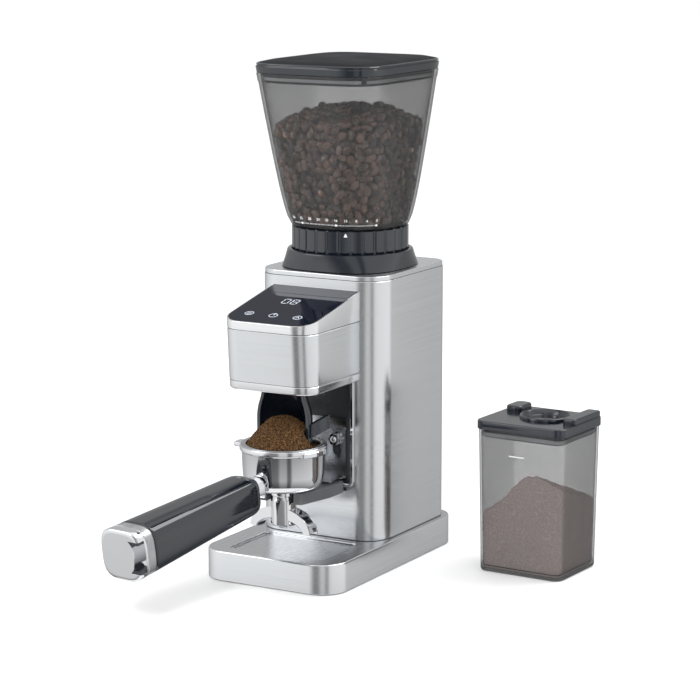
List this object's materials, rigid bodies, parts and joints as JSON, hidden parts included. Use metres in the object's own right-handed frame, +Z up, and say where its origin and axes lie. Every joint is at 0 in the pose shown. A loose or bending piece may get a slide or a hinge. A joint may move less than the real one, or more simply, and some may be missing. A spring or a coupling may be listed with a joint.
{
  "type": "burr coffee grinder",
  "caption": "Counter-top burr grinder in brushed steel with a bean hopper, grind ring, sloped touch panel, portafilter dock, docked portafilter and a lidded grounds bin.",
  "frame": {"origin": "centre of the base's underside, on the surface it stands on", "axes": "+Z up, the portafilter dock and control panel face -Y, +X is to the right seen from the front"},
  "size_m": [0.2714, 0.3817, 0.4218],
  "materials": {
    "brushed_steel": "fine vertical brushing, satin",
    "satin_trim": "satin silver",
    "chrome": "mirror polished",
    "black_plastic": "fine satin moulded",
    "gloss_black": "high gloss",
    "control_glass": "black printed glass, high gloss",
    "smoky_clear": "clear with a smoky grey tint",
    "rubber": "matt",
    "silicone": "soft satin",
    "grey_plastic": "moulded",
    "aluminium": "as cast",
    "hard_steel": "machined",
    "brass": "machined",
    "circuit_board": "solder mask"
  },
  "bodies": {
    "housing": {"foot_pad": "rubber", "base_cover": "black_plastic", "base_shell": "brushed_steel", "tower_shell": "brushed_steel", "rear_cover": "brushed_steel", "rear_screw_1": "hard_steel", "rear_screw_2": "hard_steel", "rear_screw_3": "hard_steel", "rear_screw_4": "hard_steel", "cord_gland": "rubber", "top_plate": "brushed_steel", "chassis": "grey_plastic", "head_bottom_trim": "satin_trim", "head_shell": "brushed_steel", "head_top_trim": "satin_trim", "control_glass": "control_glass", "display_board": "circuit_board", "grounds_chute": "black_plastic", "dispensing_shroud": "black_plastic", "dock_liner": "gloss_black", "dock_bezel": "brushed_steel", "burr_chamber": "aluminium", "motor": "hard_steel", "gearbox_housing": "grey_plastic", "gearbox_cover": "grey_plastic", "lower_bearing": "brass", "upper_bearing": "brass", "power_board": "circuit_board", "hopper_collar": "black_plastic"},
    "burr_drive": {"burr_spindle": "hard_steel", "drive_gear": "brass", "impeller": "grey_plastic", "lower_burr": "hard_steel", "burr_nut": "hard_steel"},
    "motor_rotor": {"motor_shaft": "hard_steel", "motor_pinion": "brass"},
    "grind_adjuster": {"grind_ring": "black_plastic"},
    "upper_burr_holder": {"burr_carrier": "black_plastic", "upper_burr": "hard_steel"},
    "hopper": {"hopper_body": "smoky_clear", "hopper_floor": "black_plastic"},
    "hopper_gate": {"bean_gate": "black_plastic"},
    "lid": {"hopper_lid": "gloss_black", "lid_seal": "silicone"},
    "height_slide": {"fork_plate": "chrome", "fork": "black_plastic"},
    "left_screw": {"height_screw_left": "chrome"},
    "right_screw": {"height_screw_right": "chrome"},
    "portafilter": {"portafilter_cup": "chrome", "filter_basket": "hard_steel", "basket_spring": "hard_steel", "spout_neck": "chrome", "double_spout": "chrome", "handle_bracket": "chrome", "handle_grip": "gloss_black", "handle_ring": "chrome", "handle_cap": "chrome"},
    "bin": {"grounds_bin": "smoky_clear"},
    "bin_cover": {"bin_lid": "black_plastic", "bin_seal": "silicone"}
  },
  "joints": [
    {"name": "burr_spin", "type": "hinge", "parent": "housing", "child": "burr_drive", "pos_m": [0, 0.0323, 0.2], "axis": [0, 0, 1], "continuous": true},
    {"name": "motor_spin", "type": "hinge", "parent": "housing", "child": "motor_rotor", "pos_m": [0, 0.0623, 0.16], "axis": [0, 0, 1], "continuous": true},
    {"name": "grind_ring_turn", "type": "hinge", "parent": "housing", "child": "grind_adjuster", "pos_m": [0, 0.0323, 0.27], "axis": [0, 0, 1], "range_deg": [-90, 31]},
    {"name": "upper_burr_lift", "type": "slide", "parent": "grind_adjuster", "child": "upper_burr_holder", "axis": [0, 0, 1], "range_m": [-0.0002, 0.00055]},
    {"name": "hopper_lift", "type": "slide", "parent": "housing", "child": "hopper", "axis": [0, 0, 1], "range_m": [0, 0.08]},
    {"name": "bean_gate_turn", "type": "hinge", "parent": "hopper", "child": "hopper_gate", "pos_m": [0, 0.0323, 0.27], "axis": [0, 0, 1], "range_deg": [0, 90]},
    {"name": "hopper_lid_lift", "type": "slide", "parent": "hopper", "child": "lid", "axis": [0, 0, 1], "range_m": [0, 0.06]},
    {"name": "fork_height", "type": "slide", "parent": "housing", "child": "height_slide", "axis": [0, 0, 1], "range_m": [-0.002, 0.005]},
    {"name": "left_screw_turn", "type": "hinge", "parent": "housing", "child": "left_screw", "pos_m": [-0.018, -0.0235, 0.11], "axis": [0, -1, 0], "range_deg": [0, 360]},
    {"name": "right_screw_turn", "type": "hinge", "parent": "housing", "child": "right_screw", "pos_m": [0.018, -0.0235, 0.11], "axis": [0, -1, 0], "range_deg": [0, 360]},
    {"name": "portafilter_pull", "type": "slide", "parent": "height_slide", "child": "portafilter", "axis": [0, -1, 0], "range_m": [0, 0.12]},
    {"name": "bin_lift", "type": "slide", "parent": "housing", "child": "bin", "axis": [0, 0, 1], "range_m": [0, 0.06]},
    {"name": "bin_lid_lift", "type": "slide", "parent": "bin", "child": "bin_cover", "axis": [0, 0, 1], "range_m": [0, 0.05]}
  ],
  "couplings": [
    {"joint": "motor_spin", "follows": "burr_spin", "ratio": -4},
    {"joint": "upper_burr_lift", "follows": "grind_ring_turn", "m_per_rad": -0.000318}
  ]
}
